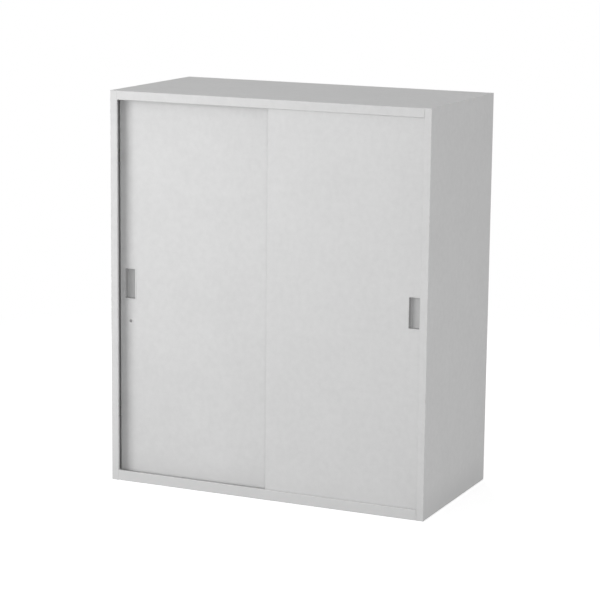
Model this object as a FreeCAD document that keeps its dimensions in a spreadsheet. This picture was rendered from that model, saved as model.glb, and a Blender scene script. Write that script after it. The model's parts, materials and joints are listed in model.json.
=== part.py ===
import FreeCAD, Part
import enum
import os
import re

import Sketcher

# Sliding door cabinet in folded steel sheet, built as a parametric document.
# Frame: X to the right, Y to the back, Z up, origin at the middle of the footprint on the floor.
# The front door runs in the track nearer the front, the rear door in the track behind it.

os.makedirs("parts", exist_ok=True)

# Driving sizes in millimetres: alias, value, what it is.
SIZES = [
    ("cab_width", 900, "overall width of the case"),
    ("cab_depth", 450, "overall depth of the case"),
    ("cab_height", 1050, "overall height of the case"),
    ("case_sheet", 1.0, "sheet of the sides, top and bottom"),
    ("back_sheet", 0.8, "sheet of the back"),
    ("strip_width", 20, "front strip folded from each side"),
    ("rail_return", 6, "fold behind the strips and rails"),
    ("top_rail_height", 24, "front rail folded down from the top"),
    ("floor_height", 28, "top face of the floor and of the front lip"),
    ("tray_height", 12, "top face of the sunk tray that holds the rails"),
    ("tray_margin", 10, "tray behind the back of the rear door"),
    ("foot_return", 15, "inward fold at the foot of the front rail"),
    ("back_flange", 15, "flanges around the back"),
    ("base_flange", 26, "flange at the foot of each side"),
    ("base_hole_radius", 4.5, "holes for the bolts to a plinth"),
    ("base_hole_inset", 15, "bolt hole to the outer face of a side"),
    ("base_hole_setback", 45, "bolt hole to the front or back face"),
    ("hat_brim", 10, "brim of a stiffener"),
    ("hat_crown", 30, "crown of a stiffener"),
    ("hat_sheet", 1.0, "sheet of the stiffeners"),
    ("top_hat_height", 10, "height of the stiffener under the top"),
    ("floor_hat_height", 12, "height of the stiffener under the floor"),
    ("hat_offset", 30, "stiffeners of top and floor behind the middle"),
    ("door_thickness", 18, "thickness of a door"),
    ("door_sheet", 0.8, "sheet of a door"),
    ("door_flange", 14, "flange around the back of a door"),
    ("door_setback", 8, "face of the front door behind the case front"),
    ("track_pitch", 28, "front track to rear track"),
    ("door_sink", 9, "foot of a door under the top of the front lip"),
    ("door_cover", 5, "head of a door above the foot of the top rail"),
    ("meeting_offset", 2, "inner edge of the front door right of the middle"),
    ("door_overlap", 22, "rear door behind the front door when shut"),
    ("bumper_length", 7, "rubber stop, from the side to its face"),
    ("bumper_width", 12, "rubber stop along the depth"),
    ("bumper_height", 25, "rubber stop along the height"),
    ("bumper_gap", 0.5, "shut door to its rubber stop"),
    ("bumper_margin", 160, "rubber stop to the head or foot of a door"),
    ("rail_base_width", 12, "foot of a bottom rail"),
    ("rail_base_height", 1.5, "thickness of that foot"),
    ("ridge_width", 3, "ridge that the rollers run on"),
    ("ridge_height", 4.5, "ridge above the foot of the rail"),
    ("roll_clearance", 0.3, "roller tread to ridge"),
    ("roller_tread_radius", 8, "tread of a roller"),
    ("roller_rim_radius", 10.5, "rims of a roller"),
    ("roller_width", 8, "width of a roller"),
    ("groove_width", 4.4, "groove between the rims"),
    ("roller_inset", 60, "roller axis to the edge of its door"),
    ("axle_radius", 2, "axle of a roller"),
    ("axle_clearance", 0.05, "running fit on the axle"),
    ("axle_head_radius", 3.2, "riveted heads of an axle"),
    ("axle_head_length", 0.8, "length of a riveted head"),
    ("cheek_gap", 0.5, "roller to a cheek of its bracket"),
    ("bracket_sheet", 1.5, "sheet of a roller bracket"),
    ("bracket_length", 26, "roller bracket along the door"),
    ("bracket_headroom", 1.5, "roller to the bridge of its bracket"),
    ("wheel_slot_gap", 1.5, "roller to the edges of its slot in the door"),
    ("shoe_width", 7, "tongue of a guide shoe"),
    ("shoe_length", 30, "length of that tongue"),
    ("shoe_height", 12, "guide shoe above the head of its door"),
    ("shoe_base_height", 2, "base of a guide shoe"),
    ("shoe_base_margin", 4, "base beyond the tongue all round"),
    ("guide_clearance", 0.6, "guide shoe to a wall of its channel"),
    ("channel_sheet", 1.2, "sheet of a guide channel"),
    ("channel_depth", 15, "depth of a guide channel"),
    ("handle_width", 29, "mouth of a handle cup"),
    ("handle_height", 80, "height of that mouth"),
    ("handle_depth", 13, "depth of a handle cup"),
    ("cup_wall", 1.5, "wall of a handle cup"),
    ("cup_rim", 2.5, "rim around the mouth"),
    ("cup_rim_height", 0.6, "rim in front of the face of the door"),
    ("handle_inset", 30, "middle of a handle to the outer edge of its door"),
    ("handle_lift", 9, "middle of a handle above the middle of the case"),
    ("cup_clearance", 0.15, "handle cup to its hole in the door"),
    ("lock_drop", 101, "lock under the middle of the handle"),
    ("lock_inset", 32, "lock to the outer edge of the rear door"),
    ("barrel_radius", 6.5, "barrel of the lock"),
    ("barrel_face_radius", 7.5, "collar on the face of the door"),
    ("barrel_face_height", 1.2, "collar in front of the face"),
    ("barrel_tail", 2.2, "barrel behind the back of the door"),
    ("barrel_clearance", 0.1, "barrel to its hole"),
    ("nut_radius", 10, "nut behind the face sheet, over its corners"),
    ("nut_height", 4, "thickness of that nut"),
    ("plug_radius", 4.5, "turning plug in the barrel"),
    ("plug_clearance", 0.05, "plug to the barrel"),
    ("plug_recess", 0.4, "face of the plug behind the collar"),
    ("plug_tail_radius", 3, "tail of the plug through the cam"),
    ("cam_gap", 0.4, "barrel to the cam"),
    ("cam_sheet", 2, "thickness of the cam"),
    ("cam_half_width", 5, "half width of the cam arm"),
    ("cam_heel", 7, "cam beyond its pivot"),
    ("cam_reach", 35.5, "pivot to the tip of the cam"),
    ("cam_barb_width", 3, "barb at the tip"),
    ("cam_barb_height", 4, "barb above the arm"),
    ("key_slot_width", 1.6, "key slot in the plug"),
    ("key_slot_length", 6, "length of the key slot"),
    ("key_slot_depth", 8, "depth of the key slot"),
    ("strike_sheet", 1.5, "sheet of the strike"),
    ("strike_gap", 1.0, "barb to the tab of the strike"),
    ("strike_lift", 1.5, "cam arm to the foot of the tab"),
    ("strike_tab", 13, "height of the tab"),
    ("strike_width", 6, "tab along the depth"),
    ("strike_plate_drop", 20, "plate of the strike under the pivot"),
    ("screw_head_radius", 3, "head of a strike screw"),
    ("screw_head_height", 2, "thickness of that head"),
    ("screw_radius", 1.6, "shank of a strike screw"),
    ("screw_clearance", 0.1, "shank to its hole"),
    ("screw_margin", 6, "screw to the foot of the plate or to the web"),
    ("upright_width", 24, "shelf upright along the depth"),
    ("upright_depth", 10, "shelf upright off the side"),
    ("upright_sheet", 1.2, "sheet of a shelf upright"),
    ("upright_lift", 10, "upright above the floor"),
    ("upright_headroom", 30, "upright under the top"),
    ("upright_front", 110, "front uprights behind the case front"),
    ("upright_rear", 50, "rear uprights before the case back"),
    ("slot_first", 20, "lowest slot above the foot of an upright"),
    ("slot_pitch", 25, "slot to slot"),
    ("slot_width", 4, "width of a slot"),
    ("slot_height", 12, "height of a slot"),
    ("clip_sheet", 1.5, "sheet of a shelf clip"),
    ("clip_width", 16, "width of a shelf clip"),
    ("clip_ledge", 10, "ledge under the shelf"),
    ("clip_drop", 10, "foot of a clip under its lower hook"),
    ("clip_rise", 6, "head of a clip above its upper hook"),
    ("hook_width", 3.2, "hook through a slot"),
    ("hook_height", 8, "height of a hook"),
    ("hook_length", 4, "hook behind the face of the upright"),
    ("shelf_edge", 25, "height of a shelf edge"),
    ("shelf_hem", 10, "hem under the long edges of a shelf"),
    ("shelf_sheet", 0.8, "sheet of a shelf"),
    ("shelf_end_gap", 0.5, "shelf to clip at each end"),
    ("shelf_front_gap", 14, "rear door to the front edge of a shelf"),
    ("shelf_back_gap", 4, "back edge of a shelf to the back"),
    ("shelf_hat_height", 12, "height of the stiffener under a shelf"),
    ("lower_shelf_slot", 12, "slot number of the lower shelf"),
    ("upper_shelf_slot", 26, "slot number of the upper shelf"),
]

# Places that follow from the driving sizes: alias, formula, what it is.
PLACES = [
    ("side_inner", "cab_width / 2 - case_sheet", "inner face of a side, off the middle"),
    ("front_face", "-cab_depth / 2", "front plane of the case"),
    ("back_inner", "cab_depth / 2 - case_sheet - back_sheet", "inner face of the back"),
    ("strip_edge", "cab_width / 2 - strip_width", "inner edge of a front strip, off the middle"),
    ("top_under", "cab_height - case_sheet", "underside of the top"),
    ("door_edge", "side_inner - bumper_length - bumper_gap", "outer edge of a shut door"),
    ("door_foot", "floor_height - door_sink", "foot of a door"),
    ("door_head", "cab_height - top_rail_height + door_cover", "head of a door"),
    ("door_height", "door_head - door_foot", "height of a door"),
    ("front_door_width", "door_edge - meeting_offset", "width of the front door"),
    ("rear_door_width", "door_edge + meeting_offset + door_overlap", "width of the rear door"),
    ("front_door_face", "front_face + door_setback", "face of the front door"),
    ("rear_door_face", "front_door_face + track_pitch", "face of the rear door"),
    ("rear_door_back", "rear_door_face + door_thickness", "back of the rear door"),
    ("front_track", "front_door_face + door_thickness / 2", "middle of the front track"),
    ("rear_track", "front_track + track_pitch", "middle of the rear track"),
    ("tray_back", "rear_door_back + tray_margin", "back of the tray"),
    ("ridge_top", "tray_height + rail_base_height + ridge_height", "top of a ridge"),
    ("roller_axis", "ridge_top + roll_clearance + roller_tread_radius", "height of the roller axes"),
    ("bracket_half", "roller_width / 2 + cheek_gap + bracket_sheet", "half width of a bracket"),
    ("bracket_head", "roller_axis + roller_rim_radius + bracket_headroom", "under the bridge of a bracket"),
    ("handle_mid", "cab_height / 2 + handle_lift", "height of the middle of a handle"),
    ("lock_x", "-door_edge + lock_inset", "lock, off the middle"),
    ("lock_z", "handle_mid - lock_drop", "height of the lock"),
    ("cam_front", "rear_door_back + barrel_tail + cam_gap", "front of the cam"),
    ("upright_face", "side_inner - upright_depth", "face of an upright, off the middle"),
    ("upright_foot", "floor_height + upright_lift", "foot of an upright"),
    ("upright_height", "top_under - upright_headroom - upright_foot", "height of an upright"),
    ("front_upright", "front_face + upright_front", "middle of the front uprights"),
    ("rear_upright", "cab_depth / 2 - upright_rear", "middle of the rear uprights"),
    ("shelf_half", "upright_face - clip_sheet - shelf_end_gap", "half the length of a shelf"),
    ("shelf_front", "rear_door_back + shelf_front_gap", "front edge of a shelf"),
    ("shelf_back", "back_inner - shelf_back_gap", "back edge of a shelf"),
    ("first_hook", "upright_foot + slot_first", "height of the lowest slot"),
    ("lower_hook", "first_hook + lower_shelf_slot * slot_pitch", "lower hooks of the lower shelf"),
    ("upper_hook", "first_hook + upper_shelf_slot * slot_pitch", "lower hooks of the upper shelf"),
    ("seat_offset", "clip_sheet - clip_drop", "seat of a shelf above its lower hooks"),
    ("barb_inner", "lock_x - cam_reach + cam_barb_width", "inner face of the barb when locked"),
]

doc = FreeCAD.newDocument("sliding_door_cabinet")
sheet = doc.addObject("Spreadsheet::Sheet", "Sizes")
parts = {}


class Sketched(enum.IntEnum):
    """How a sketch numbers its own origin, and the points of its lines and circles."""
    ORIGIN = -1
    START = 1
    END = 2
    MIDDLE = 3


def write_sizes():
    """Driving sizes go in as plain numbers, places as formulas on them."""
    for row, (alias, number, note) in enumerate(SIZES, 1):
        sheet.set("A%d" % row, note)
        sheet.set("B%d" % row, str(number))
        sheet.setAlias("B%d" % row, alias)
    for row, (alias, formula, note) in enumerate(PLACES, len(SIZES) + 1):
        sheet.set("A%d" % row, note)
        sheet.set("B%d" % row, "=" + formula)
        sheet.setAlias("B%d" % row, alias)
    doc.recompute()


def bound(formula):
    """A formula on the sheet's names, as an expression of the document."""
    return re.sub(r"\b([a-z][a-z_]*[a-z])\b(?!\()", r"Sizes.\1", formula)


def flipped(side, formula):
    """The same place on the left (-1) or the right (1) of the middle."""
    return formula if side > 0 else "-(%s)" % formula


# ---------------------------------------------------------------- sketches and features

def template(name):
    """An empty body that is only copied, and isn't a sub-part by itself."""
    body = doc.addObject("PartDesign::Body", name)
    body.Label = name
    return body


def new_body(name):
    """An empty body that becomes the sub-part of that name."""
    parts[name] = template(name)
    return parts[name]


def origin_feature(body, role):
    """The body's own plane or axis with that role."""
    return next(item for item in body.Origin.OriginFeatures if item.Role == role)


def held_point(geometry, point, formulas):
    """The two distances that hold a point of a sketch, each with its formula."""
    origin = (Sketched.ORIGIN, Sketched.START)
    across = Sketcher.Constraint("DistanceX", *origin, geometry, point, 1.0)
    upward = Sketcher.Constraint("DistanceY", *origin, geometry, point, 1.0)
    return [(across, formulas[0]), (upward, formulas[1])]


def add_loop(sketch, corners):
    """A closed loop of straight lines whose corners follow the sheet.

    The lines start on a parabola, so that no two are alike, and the formulas then move them.
    """
    first = sketch.GeometryCount
    count = len(corners)
    start = [FreeCAD.Vector(float(step * step), float(step), 0) for step in range(count)]
    lines = [Part.LineSegment(start[step], start[(step + 1) % count]) for step in range(count)]
    sketch.addGeometry(lines, False)
    held = []
    for step in range(count):
        line = first + step
        following = first + (step + 1) % count
        joined = Sketcher.Constraint("Coincident", line, Sketched.END, following, Sketched.START)
        held.append((joined, None))
        held += held_point(line, Sketched.START, corners[step])
    add_constraints(sketch, held)


def add_circle(sketch, middle, radius):
    """A circle whose middle and radius follow the sheet."""
    first_guess = Part.Circle(FreeCAD.Vector(1, 1, 0), FreeCAD.Vector(0, 0, 1), 1)
    place = sketch.addGeometry(first_guess, False)
    size = Sketcher.Constraint("Radius", place, 1.0)
    add_constraints(sketch, held_point(place, Sketched.MIDDLE, middle) + [(size, radius)])


def add_constraints(sketch, held):
    """Adds constraints in one go and binds each one that has a formula."""
    first = sketch.ConstraintCount
    sketch.addConstraint([constraint for constraint, formula in held])
    for offset, (constraint, formula) in enumerate(held):
        if formula is not None:
            sketch.setExpression("Constraints[%d]" % (first + offset), bound(formula))


def new_sketch(body, role, place):
    """A sketch on a plane of the body, moved along the plane's world axis to a place."""
    sketch = body.newObject("Sketcher::SketchObject", body.Name + "_sketch")
    sketch.AttachmentSupport = [(origin_feature(body, role), "")]
    sketch.MapMode = "FlatFace"
    along = "-(%s)" % place if role == "XZ_Plane" else place
    sketch.setExpression("AttachmentOffset.Base.z", bound(along))
    return sketch


def draw(sketch, shapes):
    """Draws loops, given as lists of corners, and circles, given as (middle, radius)."""
    for shape in shapes:
        if isinstance(shape, list):
            add_loop(sketch, shape)
        else:
            add_circle(sketch, *shape)


def pad(body, role, shapes, low, high):
    """Adds material from low to high along the axis that the plane faces."""
    sketch = new_sketch(body, role, low)
    draw(sketch, shapes)
    feature = body.newObject("PartDesign::Pad", body.Name + "_pad")
    feature.Profile = sketch
    feature.Reversed = role == "XZ_Plane"
    feature.setExpression("Length", bound("(%s) - (%s)" % (high, low)))


def pocket(body, role, shapes, low, high):
    """Cuts material from low to high along the axis that the plane faces."""
    sketch = new_sketch(body, role, low if role == "XZ_Plane" else high)
    draw(sketch, shapes)
    feature = body.newObject("PartDesign::Pocket", body.Name + "_pocket")
    feature.Profile = sketch
    feature.setExpression("Length", bound("(%s) - (%s)" % (high, low)))
    return feature


def rectangle(left, right, low, high):
    """Corners of a rectangle between four formulas."""
    return [(left, low), (right, low), (right, high), (left, high)]


def folded(path, thickness):
    """Outline of folded sheet with square folds.

    path holds the corners of one face: across, upward, and the signs of the step from
    there to the same corner of the other face.
    """
    near = [(across, upward) for across, upward, step in path]
    far = [("%s + %d * %s" % (across, step[0], thickness), "%s + %d * %s" % (upward, step[1], thickness))
           for across, upward, step in path]
    return near + far[::-1]


def place_body(item, x="0", y="0", z="0"):
    """Binds the place of a sub-part."""
    for axis, formula in (("x", x), ("y", y), ("z", z)):
        item.setExpression("Placement.Base." + axis, bound(formula))


def group(name, source, places):
    """One node that holds a copy of the same solid at each place."""
    copies = []
    for x, y, z in places:
        copy = doc.addObject("App::Link", name + "_copy")
        copy.LinkedObject = source
        place_body(copy, x, y, z)
        copies.append(copy)
    joined = doc.addObject("Part::Compound", name)
    joined.Links = copies
    joined.Label = name
    parts[name] = joined


# ---------------------------------------------------------------- case

def make_side(name, side):
    """Side of the case: skin, front strip with its fold, back flange and foot flange."""
    body = new_body(name)
    outer = flipped(side, "cab_width / 2")
    strip = flipped(side, "strip_edge")
    flange = flipped(side, "cab_width / 2 - back_flange")
    fold = "front_face + rail_return"
    section = folded([
        (flange, "cab_depth / 2", (0, -1)),
        (outer, "cab_depth / 2", (-side, -1)),
        (outer, "front_face", (-side, 1)),
        (strip, "front_face", (side, 1)),
        (strip, fold, (side, 0)),
    ], "case_sheet")
    pad(body, "XY_Plane", [section], "0", "top_under")
    foot = sorted_sides(side, "side_inner - base_flange", "side_inner")
    plate = rectangle(*foot, fold, "cab_depth / 2 - case_sheet")
    pad(body, "XY_Plane", [plate], "0", "case_sheet")
    hole_x = flipped(side, "cab_width / 2 - base_hole_inset")
    holes = [((hole_x, flipped(end, "cab_depth / 2 - base_hole_setback")), "base_hole_radius")
             for end in (-1, 1)]
    pocket(body, "XY_Plane", holes, "0", "case_sheet")


def make_top():
    """Top of the case: a lid over the sides, with the front rail and the back flange."""
    body = new_body("top_panel")
    lid = rectangle("-cab_width / 2", "cab_width / 2", "-cab_depth / 2", "cab_depth / 2")
    pad(body, "XY_Plane", [lid], "top_under", "cab_height")
    rail_foot = "cab_height - top_rail_height"
    rail = folded([
        ("front_face", "top_under", (1, 0)),
        ("front_face", rail_foot, (1, 1)),
        ("front_face + rail_return", rail_foot, (0, 1)),
    ], "case_sheet")
    pad(body, "YZ_Plane", [rail], "-strip_edge", "strip_edge")
    flange = rectangle("cab_depth / 2 - case_sheet", "cab_depth / 2", "top_under - back_flange", "top_under")
    pad(body, "YZ_Plane", [flange], "-cab_width / 2 + back_flange", "cab_width / 2 - back_flange")


def make_bottom():
    """Bottom of the case: floor, sunk tray, front lip and front rail, in one folded sheet."""
    body = new_body("bottom_panel")
    lip_back = "front_face + rail_return"
    section = folded([
        ("front_face + foot_return", "0", (0, 1)),
        ("front_face", "0", (1, 1)),
        ("front_face", "floor_height", (1, -1)),
        (lip_back, "floor_height", (-1, -1)),
        (lip_back, "tray_height", (-1, -1)),
        ("tray_back", "tray_height", (1, -1)),
        ("tray_back", "floor_height", (1, -1)),
        ("cab_depth / 2", "floor_height", (-1, -1)),
        ("cab_depth / 2", "case_sheet", (-1, 0)),
    ], "case_sheet")
    pad(body, "YZ_Plane", [section], "-side_inner", "side_inner")
    corners = [rectangle(*sorted_sides(side, "strip_edge", "side_inner"), "front_face", lip_back)
               for side in (-1, 1)]
    pocket(body, "XY_Plane", corners, "0", "floor_height")
    low_corners = [rectangle(*sorted_sides(side, "side_inner - base_flange", "side_inner"),
                             "front_face", "front_face + foot_return") for side in (-1, 1)]
    pocket(body, "XY_Plane", low_corners, "0", "case_sheet")
    back_corners = [rectangle(*sorted_sides(side, "cab_width / 2 - back_flange", "side_inner"),
                              "cab_depth / 2 - case_sheet", "cab_depth / 2") for side in (-1, 1)]
    pocket(body, "XY_Plane", back_corners, "0", "floor_height")


def sorted_sides(side, inner, outer):
    """The two places in rising order on the left or the right of the middle."""
    if side > 0:
        return inner, outer
    return "-(%s)" % outer, "-(%s)" % inner


def make_back():
    """Back sheet, standing on the floor inside the flanges."""
    body = new_body("back_panel")
    face = rectangle("-side_inner", "side_inner", "floor_height", "top_under")
    pad(body, "XZ_Plane", [face], "back_inner", "back_inner + back_sheet")


def hat_section(middle, face, height, up):
    """Outline of a hat-shaped stiffener whose brims lie on a face, crown up (1) or down (-1)."""
    sign = "+" if up > 0 else "-"
    crown = "%s %s %s" % (face, sign, height)
    half = "hat_crown / 2"
    brim = "(hat_crown / 2 + hat_brim)"
    return folded([
        ("%s - %s" % (middle, brim), face, (0, up)),
        ("%s - %s" % (middle, half), face, (-1, up)),
        ("%s - %s" % (middle, half), crown, (-1, up)),
        ("%s + %s" % (middle, half), crown, (1, up)),
        ("%s + %s" % (middle, half), face, (1, up)),
        ("%s + %s" % (middle, brim), face, (0, up)),
    ], "hat_sheet")


def make_case_stiffeners():
    """Hat sections across the case under the top and under the floor."""
    body = new_body("top_stiffener")
    hat = hat_section("hat_offset", "top_under", "(top_hat_height - hat_sheet)", -1)
    pad(body, "YZ_Plane", [hat], "-upright_face", "upright_face")
    body = new_body("floor_stiffener")
    hat = hat_section("hat_offset", "floor_height - case_sheet", "(floor_hat_height - hat_sheet)", -1)
    pad(body, "YZ_Plane", [hat], "-side_inner", "side_inner")


def make_rail(name, track):
    """Bottom rail: a flat foot in the tray with the ridge that the rollers run on."""
    body = new_body(name)
    foot = "rail_base_width / 2"
    ridge = "ridge_width / 2"
    step = "rail_base_height"
    top = "rail_base_height + ridge_height"
    section = [
        ("-" + foot, "0"), (foot, "0"), (foot, step), (ridge, step),
        (ridge, top), ("-" + ridge, top), ("-" + ridge, step), ("-" + foot, step),
    ]
    pad(body, "YZ_Plane", [section], "-side_inner", "side_inner")
    place_body(body, y=track, z="tray_height")


def make_channel(name, track):
    """Guide channel under the top: an upturned U that the shoes of one door run in."""
    body = new_body(name)
    half = "(shoe_width / 2 + guide_clearance)"
    foot = "-channel_depth"
    section = folded([
        ("-" + half, foot, (-1, 0)),
        ("-" + half, "-channel_sheet", (-1, 1)),
        (half, "-channel_sheet", (1, 1)),
        (half, foot, (1, 0)),
    ], "channel_sheet")
    pad(body, "YZ_Plane", [section], "-side_inner", "side_inner")
    place_body(body, y=track, z="top_under")


def make_upright(name, side, middle):
    """Shelf upright: a channel on the side with a row of slots in its face."""
    body = new_body(name)
    half = "upright_width / 2"
    section = folded([
        (flipped(side, "side_inner"), "-" + half, (0, 1)),
        (flipped(side, "upright_face"), "-" + half, (side, 1)),
        (flipped(side, "upright_face"), half, (side, -1)),
        (flipped(side, "side_inner"), half, (0, -1)),
    ], "upright_sheet")
    pad(body, "XY_Plane", [section], "0", "upright_height")
    low, high = sorted_sides(side, "upright_face", "upright_face + upright_sheet")
    slot = rectangle("-slot_width / 2", "slot_width / 2",
                     "slot_first - slot_height / 2", "slot_first + slot_height / 2")
    cut = pocket(body, "YZ_Plane", [slot], low, high)
    pattern = body.newObject("PartDesign::LinearPattern", name + "_slots")
    pattern.Originals = [cut]
    pattern.Direction = (origin_feature(body, "Z_Axis"), [""])
    gaps = "floor((upright_height - slot_first * 2) / slot_pitch)"
    pattern.setExpression("Occurrences", bound(gaps + " + 1"))
    pattern.setExpression("Length", bound(gaps + " * slot_pitch"))
    body.Tip = pattern
    place_body(body, y=middle, z="upright_foot")


def make_clip(side):
    """Shelf clip: a plate with a ledge, and two hooks through the slots of an upright."""
    body = template("clip_left" if side < 0 else "clip_right")
    face = "upright_face"
    plate_inner = "upright_face - clip_sheet"
    foot = "-clip_drop"
    head = "slot_pitch + clip_rise"
    outline = [
        (flipped(side, face), foot), (flipped(side, face), head),
        (flipped(side, plate_inner), head), (flipped(side, plate_inner), foot + " + clip_sheet"),
        (flipped(side, "upright_face - clip_sheet - clip_ledge"), foot + " + clip_sheet"),
        (flipped(side, "upright_face - clip_sheet - clip_ledge"), foot),
    ]
    pad(body, "XZ_Plane", [outline], "-clip_width / 2", "clip_width / 2")
    low, high = sorted_sides(side, face, "upright_face + hook_length")
    hooks = [rectangle("-hook_width / 2", "hook_width / 2", middle + " - hook_height / 2",
                       middle + " + hook_height / 2") for middle in ("0", "slot_pitch")]
    for hook in hooks:
        pad(body, "YZ_Plane", [hook], low, high)
    return body


def make_clips():
    """Four clips for each shelf."""
    sources = {side: make_clip(side) for side in (-1, 1)}
    for name, height in (("lower_shelf", "lower_hook"), ("upper_shelf", "upper_hook")):
        for side, word in ((-1, "left"), (1, "right")):
            places = [("0", middle, height) for middle in ("front_upright", "rear_upright")]
            group("%s_%s_clips" % (name, word), sources[side], places)


def make_shelf(name, hook):
    """Shelf: a plate with turned-down edges, hemmed under the two long ones, and its stiffener."""
    body = new_body(name)
    under = "shelf_edge - shelf_sheet"
    section = folded([
        ("shelf_front + shelf_hem", "0", (0, 1)),
        ("shelf_front", "0", (1, 1)),
        ("shelf_front", "shelf_edge", (1, -1)),
        ("shelf_back", "shelf_edge", (-1, -1)),
        ("shelf_back", "0", (-1, 1)),
        ("shelf_back - shelf_hem", "0", (0, 1)),
    ], "shelf_sheet")
    pad(body, "YZ_Plane", [section], "-shelf_half", "shelf_half")
    ends = [rectangle(*sorted_sides(side, "shelf_half - shelf_sheet", "shelf_half"),
                      "shelf_front + shelf_sheet", "shelf_back - shelf_sheet") for side in (-1, 1)]
    for end in ends:
        pad(body, "XY_Plane", [end], "0", under)
    place_body(body, z=hook + " + seat_offset")
    body = new_body(name + "_stiffener")
    hat = hat_section("hat_offset", under, "(shelf_hat_height - hat_sheet)", -1)
    pad(body, "YZ_Plane", [hat], "-shelf_half + shelf_sheet", "shelf_half - shelf_sheet")
    place_body(body, z=hook + " + seat_offset")


def make_bumpers():
    """Rubber stops on the sides, two for each track at each end."""
    body = template("bumper")
    half = "bumper_width / 2"
    face = rectangle("-" + half, half, "-bumper_height / 2", "bumper_height / 2")
    pad(body, "YZ_Plane", [face], "0", "bumper_length")
    heights = ("door_foot + bumper_margin", "door_head - bumper_margin")
    for word, place in (("left", "-side_inner"), ("right", "side_inner - bumper_length")):
        places = [(place, track, height) for track in ("front_track", "rear_track") for height in heights]
        group("door_stops_" + word, body, places)


def make_strike():
    """Strike of the lock on the left side: a plate, a web and the tab that the barb goes behind."""
    body = new_body("lock_strike")
    wall = "-side_inner"
    plate = "-side_inner + strike_sheet"
    tab_left = "barb_inner + strike_gap"
    tab_right = "barb_inner + strike_gap + strike_sheet"
    tab_foot = "cam_half_width + strike_lift"
    web_low = "cam_half_width + strike_lift + strike_tab"
    web_high = "cam_half_width + strike_lift + strike_tab + strike_sheet"
    drop = "-strike_plate_drop"
    outline = [
        (wall, drop),
        (plate, drop),
        (plate, web_low),
        (tab_left, web_low),
        (tab_left, tab_foot),
        (tab_right, tab_foot),
        (tab_right, web_high),
        (wall, web_high),
    ]
    pad(body, "XZ_Plane", [outline], "-strike_width / 2", "strike_width / 2")
    heights = strike_screw_heights()
    holes = [(("0", height), "screw_radius + screw_clearance") for height in heights]
    pocket(body, "YZ_Plane", holes, wall, plate)
    place_body(body, y="cam_front + cam_sheet / 2", z="lock_z")


def strike_screw_heights():
    """Heights of the two strike screws, from the pivot of the cam."""
    return "screw_margin - strike_plate_drop", "cam_half_width + strike_lift + strike_tab - screw_margin"


def make_strike_screws():
    """Pan-head screws that hold the strike on the left side."""
    body = template("strike_screw")
    shank = (("0", "0"), "screw_radius")
    head = (("0", "0"), "screw_head_radius")
    pad(body, "YZ_Plane", [shank], "0", "strike_sheet")
    pad(body, "YZ_Plane", [head], "strike_sheet", "strike_sheet + screw_head_height")
    places = [("-side_inner", "cam_front + cam_sheet / 2", "lock_z + " + height)
              for height in strike_screw_heights()]
    group("strike_screws", body, places)


# ---------------------------------------------------------------- doors

def make_door_skin(name, width, face, left, handle):
    """Folded pan of one door, with the holes that its own fittings need. left is its left edge."""
    body = new_body(name)
    outer = rectangle("0", width, "0", "door_height")
    inner = rectangle("door_sheet", width + " - door_sheet", "door_sheet", "door_height - door_sheet")
    pad(body, "XZ_Plane", [outer], "0", "door_sheet")
    pad(body, "XZ_Plane", [outer, inner], "door_sheet", "door_thickness - door_sheet")
    brim = rectangle("door_flange", width + " - door_flange", "door_flange", "door_height - door_flange")
    pad(body, "XZ_Plane", [outer, brim], "door_thickness - door_sheet", "door_thickness")
    half = "(handle_width / 2 + cup_wall + cup_clearance)"
    tall = "(handle_height / 2 + cup_wall + cup_clearance)"
    middle = "handle_mid - door_foot"
    hole = rectangle("%s - %s" % (handle, half), "%s + %s" % (handle, half),
                     "%s - %s" % (middle, tall), "%s + %s" % (middle, tall))
    pocket(body, "XZ_Plane", [hole], "0", "door_sheet")
    reach = "(roller_rim_radius + wheel_slot_gap)"
    slots = [rectangle("%s - %s" % (spot, reach), "%s + %s" % (spot, reach),
                       "door_thickness / 2 - roller_width / 2 - cheek_gap",
                       "door_thickness / 2 + roller_width / 2 + cheek_gap")
             for spot in roller_spots(width)]
    pocket(body, "XY_Plane", slots, "0", "door_sheet")
    place_body(body, left, face, "door_foot")
    return body


def roller_spots(width):
    """Roller axes along a door, from its left edge."""
    return "roller_inset", width + " - roller_inset"


def make_door_stiffener(name, width, face, left):
    """Upright hat section in the middle of a door, its crown against the face sheet."""
    body = new_body(name)
    depth = "(door_thickness - door_sheet * 2 - hat_sheet)"
    hat = hat_section("(%s) / 2" % width, "door_thickness - door_sheet", depth, -1)
    pad(body, "XY_Plane", [hat], "door_sheet", "door_height - door_sheet")
    place_body(body, left, face, "door_foot")


def make_handle_cup(name, face, x):
    """Recessed handle: a cup with a thin rim on the face of its door."""
    body = new_body(name)
    rim_x = "(handle_width / 2 + cup_wall + cup_rim)"
    rim_z = "(handle_height / 2 + cup_wall + cup_rim)"
    rim = rectangle("-" + rim_x, rim_x, "-" + rim_z, rim_z)
    pad(body, "XZ_Plane", [rim], "-cup_rim_height", "0")
    cup_x = "(handle_width / 2 + cup_wall)"
    cup_z = "(handle_height / 2 + cup_wall)"
    cup = rectangle("-" + cup_x, cup_x, "-" + cup_z, cup_z)
    pad(body, "XZ_Plane", [cup], "0", "handle_depth + cup_wall")
    mouth = rectangle("-handle_width / 2", "handle_width / 2", "-handle_height / 2", "handle_height / 2")
    pocket(body, "XZ_Plane", [mouth], "-cup_rim_height", "handle_depth")
    place_body(body, x, face, "handle_mid")


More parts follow.
